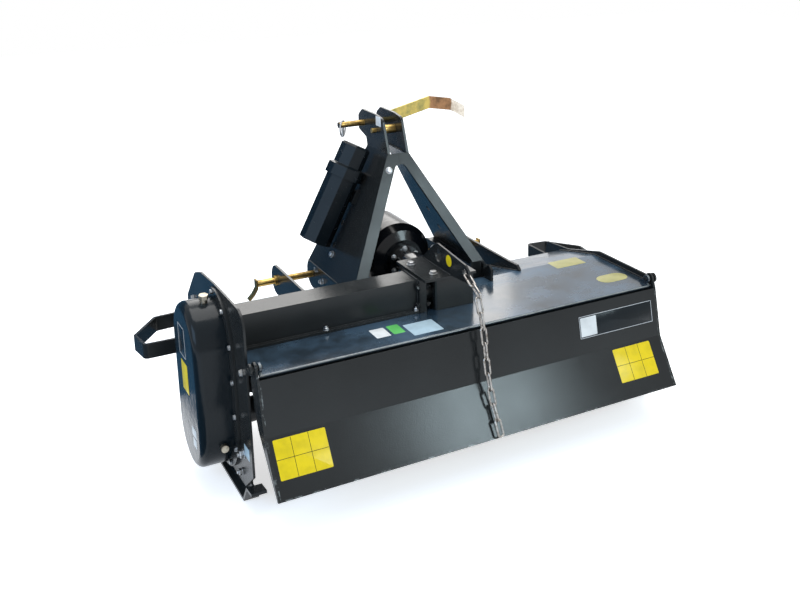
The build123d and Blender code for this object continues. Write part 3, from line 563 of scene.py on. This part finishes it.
def make_beam_bolts():
    """Fasteners of the beam's base strip and flanges, of the chain bracket, and of the gearbox's ring."""
    table = [((x, STRIP_BOLT_Y, DECK_Z + STRIP_T), UP, STRIP_BOLT, True) for x in STRIP_BOLT_X]
    bolts("strip_bolts", "frame", "bright_zinc", table)
    left = box["beam_flanges"][LOW][0] / MM
    faces = ((left, LEFT, False), (BEAM_END_X + BEAM_FLANGES_T, RIGHT, True))
    table = [((x, y, z), axis, BEAM_BOLT, nut)
             for z in BEAM_BOLT_Z for x, axis, nut in faces for y in BEAM_BOLT_Y]
    bolts("beam_flange_bolts", "frame", "dark_paint", table)
    top = box["centre_box"][HIGH][2] / MM + BRACKET_T
    table = [((x, y, top), UP, BRACKET_BOLT, False) for x, y in BRACKET_BOLTS]
    bolts("bracket_bolts", "frame", "bright_zinc", table)
    table = [((across, RING_BOLT_Y, SHAFT_Z + up), REAR, RING_BOLT, True)
             for across, up in on_circle(RING_BOLT_R, 6, 0.5)]
    bolts("gearbox_ring_nuts", "frame", "bright_zinc", table)


def make_hitch_bolts():
    """Bolts through the inner hitch plates, each with its nut on the other face."""
    table = [((side * x, y, z), (side * way, 0, 0), HITCH_BOLT, nut == (way < 0))
             for x, way in zip(HITCH_PLATE_X, (-1, 1)) for side in (1, -1) for y, z, nut in HITCH_BOLTS]
    bolts("hitch_bolts", "frame", "bright_zinc", table)


MAST_BOLT, WEB_BOLTS = 10, ((238, 470, False), (300, 700, True))      # y, z, nut
REAR_BOLT_Z, REAR_BOLT_IN = 737, 19
WEB_TURN, REAR_TURN = 0.3, 0.2      # in sides of the hexagon


def make_mast_bolts():
    """Bolts square to the leaning webs and to the left leg's rear flange."""
    splay = (MAST_FOOT_X - MAST_TOP_X) / (MAST_TOP_Z - MAST_FOOT_Z)
    lean = (MAST_TOP_Y - MAST_FOOT_Y) / (MAST_TOP_Z - MAST_FOOT_Z)
    bm = bmesh.new()
    for side in (1, -1):
        for k, (y, z, nut) in enumerate(WEB_BOLTS):
            x = MAST_FOOT_X - splay * (z - MAST_FOOT_Z)
            axis = Vector((side, 0, splay)).normalized()
            bolt(bm, at(side * x, y, z), axis, MAST_BOLT * MM, nut, WEB_TURN * k)
    up = REAR_BOLT_Z - MAST_FOOT_Z
    place = at(-(MAST_FOOT_X - splay * up) + REAR_BOLT_IN, MAST_FOOT_Y + lean * up, REAR_BOLT_Z)
    bolt(bm, place, Vector((0, -1, lean)).normalized(), MAST_BOLT * MM, False, REAR_TURN)
    piece("mast_bolts", bm, "frame", "bright_zinc", smooth=BOLT_SMOOTH)


FLANGE_PLACES = (-500, -300, -100, 100, 300, 500)
FLANGE_TURN, TINES_ROUND = 15, 4
FLANGE_HALF, TINE_THICK = 4, 8
TINE_BOLT, TINE_BOLT_RADII = 8, (48, 66)


def make_rotor_bolts():
    """Two bolts through each tine and its flange, the nuts on the flange's far side."""
    table = []
    for n, x in enumerate(FLANGE_PLACES):
        for k in range(TINES_ROUND):
            a = math.radians(360 / TINES_ROUND * k + FLANGE_TURN * n)
            side = -1 if k % 2 else 1
            for r in TINE_BOLT_RADII:
                y, z = ROTOR_Y - r * math.sin(a), ROTOR_Z + r * math.cos(a)
                table.append(((x + side * (FLANGE_HALF + TINE_THICK), y, z), (side, 0, 0), TINE_BOLT, False))
                table.append(((x - side * FLANGE_HALF, y, z), (-side, 0, 0), TINE_BOLT, True))
    bolts("tine_bolts", "rotor", "bright_zinc", table)


# ---------------------------------------------------------------- labels, kept bare

CORNER_POINTS, CORNER_STEP = 5, 22.5      # points in each round corner, and the degrees between them
STICKER_T, STICKER_LIFT, STICKER_ROUND = 0.35, 0.05, 0.35
STICKER_SHOULDER = 0.7                    # the share of its thickness at which its rim turns in
DIVIDER_WIDTH, DIVIDER_T = 1.2, 0.5
RIM_WIDTH, RIM_T = 1.6, 0.7
BAR_FOOT, BAR_LIFT = 0.02, 0.1      # above the face: the bar's foot, and what its top gains


def sticker(name, body, slot, material, centre, along, across, size, radius=2, thick=STICKER_T):
    """A thin sheet with round corners; centre in part millimetres, along and across are its directions."""
    u, v = Vector(along).normalized(), Vector(across).normalized()
    n = u.cross(v).normalized()
    w, h = size[0] / 2, size[1] / 2
    rim = []
    for k in range(4 * CORNER_POINTS):
        corner, step = divmod(k, CORNER_POINTS)
        a = math.radians(90 * corner + CORNER_STEP * step)
        x = (w - radius) * (1 if corner in (0, 3) else -1)
        y = (h - radius) * (1 if corner in (0, 1) else -1)
        rim.append((x + radius * math.cos(a), y + radius * math.sin(a)))
    bm = bmesh.new()
    layers = []
    for lift, grow in ((0.0, 0.0), (thick * STICKER_SHOULDER, 0.0), (thick, -STICKER_ROUND)):
        flats = [u * (x * (1 + grow / w)) + v * (y * (1 + grow / h)) for x, y in rim]
        layers.append([bm.verts.new(at(*centre) + (flat + n * (lift + STICKER_LIFT)) * MM) for flat in flats])
    closed(bm, layers)
    piece(name, bm, body, slot, material, smooth=20)


def line_bar(bm, start, end, side, normal, width, thick):
    """A flat strip from start to end on a face, in part millimetres."""
    a, b = at(*start), at(*end)
    side, normal = Vector(side).normalized() * width / 2 * MM, Vector(normal).normalized()
    run = (b - a).normalized() * width / 2 * MM
    a, b = a - run, b + run
    top = normal * (thick + BAR_LIFT) * MM
    foot = normal * BAR_FOOT * MM
    ring = [p + s + f for f in (foot, top) for p, s in ((a, side), (b, side), (b, -side), (a, -side))]
    v = [bm.verts.new(p) for p in ring]
    for quad in ((0, 1, 2, 3), (7, 6, 5, 4), (0, 4, 5, 1), (1, 5, 6, 2), (2, 6, 7, 3), (3, 7, 4, 0)):
        bm.faces.new([v[k] for k in quad])


def rim_bars(name, body, slot, place, centre, size, along, across):
    """A pale line round a rectangle; place makes a part point of a corner's two coordinates."""
    (u, v), (w, h) = centre, (size[0] / 2, size[1] / 2)
    corners = [place(u - w, v - h), place(u + w, v - h), place(u + w, v + h), place(u - w, v + h)]
    normal = Vector(along).cross(Vector(across))
    bm = bmesh.new()
    for k, (a, b) in enumerate(zip(corners, corners[1:] + corners[:1])):
        line_bar(bm, a, b, along if k % 2 else across, normal, RIM_WIDTH, RIM_T)
    piece(name, bm, body, slot, "grey_label")


LOW_RUN = Vector((0, FLAP_EDGE[0] - FLAP_BEND[0], FLAP_EDGE[1] - FLAP_BEND[1])).normalized()
UPPER_RUN = Vector((0, FLAP_TOP[0] - FLAP_BEND[0], FLAP_TOP[1] - FLAP_BEND[1])).normalized()
FLAP_LABELS = (("left", -532), ("right", 502))
FLAP_LABEL_DOWN, FLAP_LABEL, FLAP_LABEL_R = 58, (136, 100), 3
FLAP_COLUMN, LINE_INSET = 22.7, 1      # a dividing line from the label's middle, and its ends from the rim
PLATE_PLACE, PLATE = (462, 322), (262, 62)
SQUARE_PLACE, SQUARE, SQUARE_T = (362, 322), (56, 56), 0.75
CASE_PLATE_PLACE, CASE_PLATE = (-30, 405), (62, 84)
CASE_LABELS = (("label_case_yellow", "yellow_label", (-36, 304), (62, 84)),
               ("label_case_low_a", "white_label", (-90, 165), (44, 24)),
               ("label_case_low_b", "white_label", (-90, 134), (34, 24)))
SIDE_LABEL_PLACE, SIDE_LABEL = (-237, 150), (44, 34)
ROUND_LABEL_PLACE, ROUND_LABEL, ROUND_LABEL_R = (-168, 537), (34, 34), 16.9
EAR_LABEL_PLACE, EAR_LABEL = (228, 874), (38, 30)
DECK_LABELS = (("label_deck_white", "white_label", (-246, -228), (42, 60), 3),
               ("label_deck_green", "green_label", (-199, -226), (34, 60), 3),
               ("label_deck_blue", "blue_label", (-128, -252), (88, 80), 3),
               ("label_deck_oval", "pale_yellow_label", (545, -206), (104, 62), 30),
               ("label_deck_yellow", "pale_yellow_label", (500, -20), (110, 62), 3))


def on_lower(x, down):
    """A place on the tailboard's lower run, down from its bend."""
    return (x, FLAP_BEND[0] + LOW_RUN.y * down, FLAP_BEND[1] + LOW_RUN.z * down)


def on_upper(x, z):
    """A place on the tailboard's upper run at a height."""
    share = (z - FLAP_BEND[1]) / (FLAP_TOP[1] - FLAP_BEND[1])
    return (x, FLAP_BEND[0] + (FLAP_TOP[0] - FLAP_BEND[0]) * share, z)


def make_flap_labels():
    """Two yellow labels with dividing lines, and the plate with its pale square."""
    for name, x in FLAP_LABELS:
        sticker(f"label_flap_{name}", "tailboard", "dark_paint", "yellow_label", on_lower(x, FLAP_LABEL_DOWN),
                RIGHT, -LOW_RUN, FLAP_LABEL, FLAP_LABEL_R)
    right = Vector(RIGHT)
    out = LOW_RUN.cross(right)
    w, h = FLAP_LABEL[0] / 2 - LINE_INSET, FLAP_LABEL[1] / 2 - LINE_INSET
    for name, x in FLAP_LABELS:
        bm = bmesh.new()
        for k in (-1, 1):
            column = x + FLAP_COLUMN * k
            line_bar(bm, on_lower(column, FLAP_LABEL_DOWN - h), on_lower(column, FLAP_LABEL_DOWN + h),
                     right, out, DIVIDER_WIDTH, DIVIDER_T)
        line_bar(bm, on_lower(x - w, FLAP_LABEL_DOWN), on_lower(x + w, FLAP_LABEL_DOWN),
                 LOW_RUN, out, DIVIDER_WIDTH, DIVIDER_T)
        piece(f"label_flap_{name}_lines", bm, "tailboard", "dark_paint", "case_paint")
    sticker("plate_upper_panel", "tailboard", "dark_paint", "case_paint", on_upper(*PLATE_PLACE),
            RIGHT, UPPER_RUN, PLATE)
    rim_bars("plate_upper_panel_rim", "tailboard", "dark_paint", on_upper, PLATE_PLACE, PLATE,
             RIGHT, UPPER_RUN)
    sticker("plate_upper_panel_square", "tailboard", "dark_paint", "white_label", on_upper(*SQUARE_PLACE),
            RIGHT, UPPER_RUN, SQUARE, thick=SQUARE_T)


def make_case_labels():
    """A dark plate with a pale rim, three labels on the chain case, and one on the side plate."""
    outer = box["chain_case_cover"][LOW][0] / MM
    sticker("label_case_upper", "frame", "case_paint", "case_paint", (outer, *CASE_PLATE_PLACE),
            REAR, UP, CASE_PLATE)
    rim_bars("label_case_upper_rim", "frame", "case_paint", lambda y, z: (outer, y, z),
             CASE_PLATE_PLACE, CASE_PLATE, REAR, UP)
    for name, material, place, size in CASE_LABELS:
        sticker(name, "frame", "case_paint", material, (outer, *place), REAR, UP, size)
    plate = box["side_plate_left"][LOW][0] / MM
    sticker("label_side_plate", "frame", "dark_paint", "blue_label", (plate, *SIDE_LABEL_PLACE),
            REAR, UP, SIDE_LABEL)


def make_deck_labels():
    """Labels that lie flat on the hood."""
    for name, material, place, size, radius in DECK_LABELS:
        sticker(name, "frame", "deck_paint", material, (*place, DECK_Z), RIGHT, FRONT, size, radius)


def make_ear_labels():
    """A round label on the chain bracket's ear, and one on the mast's left ear."""
    sticker("label_ear_round", "frame", "dark_paint", "yellow_label", (CHAIN_EAR_X, *ROUND_LABEL_PLACE),
            REAR, UP, ROUND_LABEL, ROUND_LABEL_R)
    top_ear = box["mast_ear_left"][LOW][0] / MM
    sticker("label_top_ear", "frame", "dark_paint", "white_label", (top_ear, *EAR_LABEL_PLACE),
            REAR, UP, EAR_LABEL)


# ---------------------------------------------------------------- welds

WELD_R, HITCH_WELD_R = 3, 2.6
HOOD_RUN = ((-270, 394), (0, 394), (205, 349), (238, 256))      # (Y, Z) down the hood's outer face
PLATE_RUN = ((0, 394), (205, 349), (226, 290))
LEG_RUN = ((22, 396), (22, 438))
EAR_RUN, EAR_X = ((190, 783), (318, 783)), 27
CHAIN_EAR_RUN = ((-178, 497), (-10, 497))
BEAM_WELD_FOOT_Z, BEAM_END_LIFT = DECK_Z + 9, 0.5
BEAD_SIDES, BEAD_STEP = 6, 0.7
RIPPLE, SLOW_RIPPLE, BEAD_TIP = 0.16, 0.06, 0.4      # shares of the bead's radius
RIPPLE_RATE, SLOW_RATE = 2.1, 0.7                     # radians from one ring of the bead to the next


def weld(bm, points, radius, seed):
    """A bead of overlapping ripples along a run of part points."""
    places = [at(*p) for p in points]
    step = radius * BEAD_STEP * MM
    run = []
    for a, b in zip(places, places[1:]):
        count = max(2, int((b - a).length / step))
        run += [a.lerp(b, k / count) for k in range(count)]
    run.append(places[-1])
    last = len(run) - 1
    rings = []
    for k, p in enumerate(run):
        turn = towards((run[min(k + 1, last)] - run[max(k - 1, 0)]).normalized())
        wave = 1 + RIPPLE * math.sin(k * RIPPLE_RATE + seed)
        wave += SLOW_RIPPLE * math.sin(k * SLOW_RATE + seed * 3)
        if k in (0, last):
            wave *= BEAD_TIP
        fat = radius * wave * MM
        rings.append([bm.verts.new(p + turn @ Vector((x, y, 0))) for x, y in on_circle(fat, BEAD_SIDES)])
    closed(bm, rings)


def make_welds():
    """Beads along the side plates, mast feet and ears, hitch plates, beam and chain bracket."""
    bm = bmesh.new()
    for side in (1, -1):
        weld(bm, [(side * HALF_WIDTH, y, z) for y, z in HOOD_RUN], WELD_R, side)
        weld(bm, [(side * MAST_FOOT_X, y, z) for y, z in LEG_RUN], WELD_R, side)
        for x in HITCH_PLATE_X + OUTER_PLATE_X:
            weld(bm, [(side * x, y, z) for y, z in PLATE_RUN], HITCH_WELD_R, x)
        weld(bm, [(side * EAR_X, y, z) for y, z in EAR_RUN], WELD_R, side)
    for seed, x, lift in ((4, -HALF_WIDTH, 0), (6, BEAM_END_X, BEAM_END_LIFT)):
        top, rear = BEAM_TOP_Z + lift, BEAM_REAR_Y - lift
        weld(bm, [(x, BEAM_REAR_Y, top), (x, BEAM_FRONT_Y, top)], WELD_R, seed)
        weld(bm, [(x, rear, BEAM_WELD_FOOT_Z), (x, rear, BEAM_TOP_Z)], WELD_R, seed + 1)
    for x, seed in ((CHAIN_EAR_X, 8), (-CHAIN_EAR_X, 9)):
        weld(bm, [(x, y, z) for y, z in CHAIN_EAR_RUN], WELD_R, seed)
    piece("welds", bm, "frame", "dark_paint", smooth=60)


# ---------------------------------------------------------------- chain, drawn with round wire

LINK_WIRE_R, LINK_SIDES, LINK_STEPS = 3.0, 10, 28
LINK_WELD = 0.16      # how much thicker the wire is at its weld


def make_chain():
    """The lift chain's links with round wire and a weld on one side, at the places of the part's links."""
    bm = bmesh.new()
    bm.from_mesh(frame["nodes"]["lift_chain"].data)
    bmesh.ops.remove_doubles(bm, verts=bm.verts, dist=1e-6)
    islands, seen = [], set()
    for start in bm.verts:
        if start in seen:
            continue
        stack, island = [start], []
        seen.add(start)
        while stack:
            v = stack.pop()
            island.append(tuple(v.co))
            for e in v.link_edges:
                w = e.other_vert(v)
                if w not in seen:
                    seen.add(w)
                    stack.append(w)
        islands.append(np.array(island))
    bm.free()
    out = bmesh.new()
    for island in islands:
        link_from(out, island)
    chain = piece("lift_chain_links", out, "chain", "zinc_chain", smooth=50)
    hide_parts("lift_chain")


def link_from(bm, points):
    """One stadium of round wire, as long, wide and thick as the link with these points."""
    centre = points.mean(0)
    axes = np.linalg.svd(points - centre)[2]
    reach = (points - centre) @ axes.T
    spans = np.ptp(reach, axis=0)
    centre = Vector(centre + axes.T @ (reach.max(0) - spans / 2))
    along, across, thin = (Vector(axis) for axis in axes)
    wire = LINK_WIRE_R * MM
    bend, straight = spans[1] / 2 - wire, spans[0] / 2 - spans[1] / 2
    rings = []
    for k in range(LINK_STEPS):
        a = 2 * math.pi * k / LINK_STEPS
        shift = straight if math.sin(a) >= 0 else -straight
        radial = across * math.cos(a) + along * math.sin(a)
        middle = centre + radial * bend + along * shift
        fat = wire * (1.0 + (LINK_WELD if k == 0 else 0.0))
        rings.append([bm.verts.new(middle + radial * out + thin * up)
                      for out, up in on_circle(fat, LINK_SIDES)])
    for low, high in zip(rings, rings[1:] + rings[:1]):
        join(bm, low, high)


# ---------------------------------------------------------------- studio

SKY, SKY_STRENGTH = (0.86, 0.92, 1.0, 1), 0.55
WHITE = (1, 1, 1, 1)
FLOOR_HALF, FLOOR_GLOW = 9, 0.62
FLOOR_TONES = ((0.93, 0.93, 0.93), (0.97, 0.97, 0.97))
# the card's corners: (X, Y) of the part that lies round the left skid, (X, Z) of the part that stands
CARD_LOW = ((-2.4, -0.6), (-0.81, -0.6), (-0.81, 0.48), (0.8, 0.48), (0.8, 1.8), (-2.4, 1.8))
CARD_HIGH = ((-0.4, 0.004), (-0.4, 1.7), (-2.4, 1.7))
CARD_LIFT, CARD_Y = 0.004, 1.8
CARD_COLOURS = ((0.03, 0.09, 0.16), (0.06, 0.15, 0.25))
LAMPS = (      # name, place, target, size, watts, colour
    ("key_rear", (1.88, -3.68, 2.45), (0, 0, 0.4), 0.85, 40, (0.74, 0.93, 1.0)),
    ("sky_left", (-4.0, -1.6, 2.4), (-0.4, 0, 0.4), 2.6, 75, (0.42, 0.68, 1.0)),
    ("top", (0.2, 0.6, 4.2), (0, 0, 0.4), 3.0, 120, (1.0, 0.99, 0.97)),
    ("front", (1.2, 3.8, 2.6), (0, 0, 0.4), 2.5, 50, (1.0, 0.98, 0.95)))


def make_world():
    """Pale sky for the light, plain white for what is seen."""
    world = bpy.data.worlds.new("world")
    world.use_nodes = True
    bpy.context.scene.world = world
    nodes = Nodes(world.node_tree)
    sky = world.node_tree.nodes["Background"]
    sky.inputs["Color"].default_value = SKY
    sky.inputs["Strength"].default_value = SKY_STRENGTH
    white = nodes.add("ShaderNodeBackground")
    white.inputs["Color"].default_value = WHITE
    white.inputs["Strength"].default_value = 1.0
    shown = nodes.blend(nodes.seen(), sky.outputs["Background"], white.outputs["Background"])
    nodes.link(shown, world.node_tree.nodes["World Output"].inputs["Surface"])


def make_floor():
    """A white floor that glows where it is seen, so that it meets the white background."""
    bm = bmesh.new()
    bmesh.ops.create_grid(bm, x_segments=1, y_segments=1, size=FLOOR_HALF)
    mesh = mesh_from("floor", bm)
    floor = link_object("floor", mesh)
    s = Shader("floor")
    mottle = s.mix(s.patches(1.5, 0.4, 0.6), *FLOOR_TONES)
    mesh.materials.append(s.set(Base_Color=mottle, Roughness=0.9, Specular_IOR_Level=0.1))
    glow = s.add("ShaderNodeEmission")
    glow.inputs["Strength"].default_value = FLOOR_GLOW
    lit = s.add("ShaderNodeAddShader")
    s.link(s.out.outputs["BSDF"], lit.inputs[0])
    s.link(glow.outputs["Emission"], lit.inputs[1])
    shown = s.blend(s.seen(), s.out.outputs["BSDF"], lit.outputs["Shader"])
    s.link(shown, s.tree.nodes["Material Output"].inputs["Surface"])


def make_card():
    """A navy card that only reflections see: without it the faces to the left mirror the white floor."""
    bm = bmesh.new()
    low = [bm.verts.new((x, y, CARD_LIFT)) for x, y in CARD_LOW]
    high = [bm.verts.new((x, CARD_Y, z)) for x, z in CARD_HIGH]
    bm.faces.new(low)
    bm.faces.new((*high, low[-1]))
    mesh = mesh_from("dark_card", bm)
    card = link_object("dark_card", mesh)
    s = Shader("dark_card")
    cloth = s.mix(s.patches(3, 0.3, 0.7), *CARD_COLOURS)
    mesh.materials.append(s.set(Base_Color=cloth, Roughness=0.9, Specular_IOR_Level=0.0))
    card.visible_camera = card.visible_diffuse = card.visible_shadow = card.visible_transmission = False


def make_lamps():
    """Square lamps, each turned to its target."""
    for name, place, target, size, power, colour in LAMPS:
        data = bpy.data.lights.new(name, "AREA")
        data.shape, data.size, data.energy, data.color = "SQUARE", size, power, colour
        lamp = link_object(name, data)
        way = Vector(target) - Vector(place)
        lamp.matrix_world = Matrix.Translation(place) @ way.to_track_quat("-Z", "Y").to_matrix().to_4x4()


make_camera()
materials = make_materials()
dress_frame()
make_world()
make_floor()
make_card()
make_lamps()
make_case_bolts()
make_plate_bolts()
make_beam_bolts()
make_hitch_bolts()
make_mast_bolts()
make_rotor_bolts()
make_flap_labels()
make_case_labels()
make_deck_labels()
make_ear_labels()
make_welds()
make_chain()

bpy.context.scene.view_settings.view_transform = "Standard"
bpy.context.view_layer.update()
